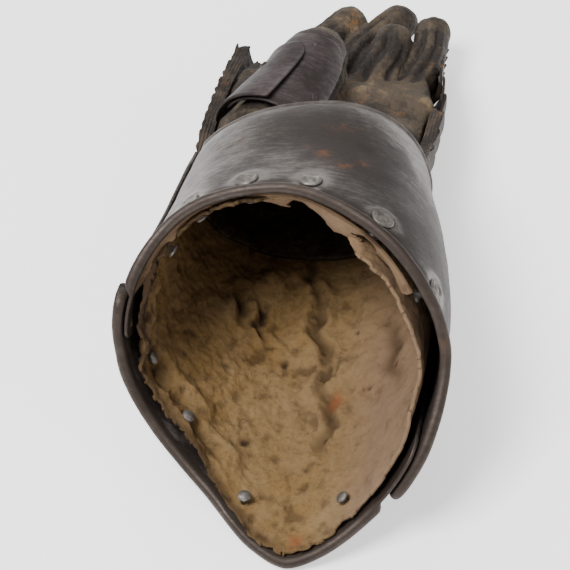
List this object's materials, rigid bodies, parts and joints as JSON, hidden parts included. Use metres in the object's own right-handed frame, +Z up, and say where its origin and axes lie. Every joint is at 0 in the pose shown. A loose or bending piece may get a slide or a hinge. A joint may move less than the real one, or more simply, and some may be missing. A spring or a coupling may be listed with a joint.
{
  "type": "armoured gauntlet",
  "caption": "Left-hand armoured gauntlet with a flared steel cuff, suede lining, leather glove, hand lames and a plated thumb.",
  "frame": {"origin": "middle of the box on the surface it rests on", "axes": "+Y from the elbow end to the fingertips, +Z up, towards the palm side as it lies on its back"},
  "size_m": [0.1398, 0.3328, 0.1153],
  "materials": {
    "steel": "worn, scratched and patinated, with brown rust in the hollows",
    "dark_steel": "dark, purplish-brown patina, worn lighter on the high spots",
    "suede": "rough tan suede, cracked and stained",
    "glove_leather": "old dark leather, creased and rubbed"
  },
  "bodies": {
    "root": {"cuff_main_plate": "steel", "cuff_inner_plate": "steel", "cuff_lining": "suede", "rim_rivet_palm_1": "steel", "rim_rivet_palm_2": "steel", "rim_rivet_palm_3": "steel", "rim_rivet_palm_4": "steel", "rim_rivet_palm_5": "steel", "rim_rivet_right_1": "steel", "rim_rivet_back_1": "steel", "rim_rivet_back_2": "steel", "rim_rivet_left_1": "steel", "rim_rivet_left_2": "steel", "metacarpal_lame_1": "steel", "metacarpal_lame_2": "steel", "metacarpal_lame_3": "steel", "metacarpal_lame_4": "steel", "metacarpal_lame_5": "steel", "metacarpal_lame_6": "steel", "knuckle_plate": "steel", "lame_strap_left": "glove_leather", "lame_strap_right": "glove_leather", "thumb_main_plate": "dark_steel", "thumb_side_plate": "dark_steel", "thumb_tip_plate": "dark_steel", "index_scale_1": "dark_steel", "index_scale_2": "dark_steel", "index_scale_3": "dark_steel", "index_scale_4": "dark_steel", "middle_scale_1": "dark_steel", "middle_scale_2": "dark_steel", "middle_scale_3": "dark_steel", "middle_scale_4": "dark_steel", "ring_scale_1": "dark_steel", "ring_scale_2": "dark_steel", "ring_scale_3": "dark_steel", "ring_scale_4": "dark_steel", "little_scale_1": "dark_steel", "little_scale_2": "dark_steel", "little_scale_3": "dark_steel", "little_scale_4": "dark_steel", "glove_hand": "glove_leather", "glove_knuckles": "glove_leather", "index_stall": "glove_leather", "middle_stall": "glove_leather", "ring_stall": "glove_leather", "little_stall": "glove_leather", "thumb_stall": "glove_leather"}
  },
  "joints": []
}
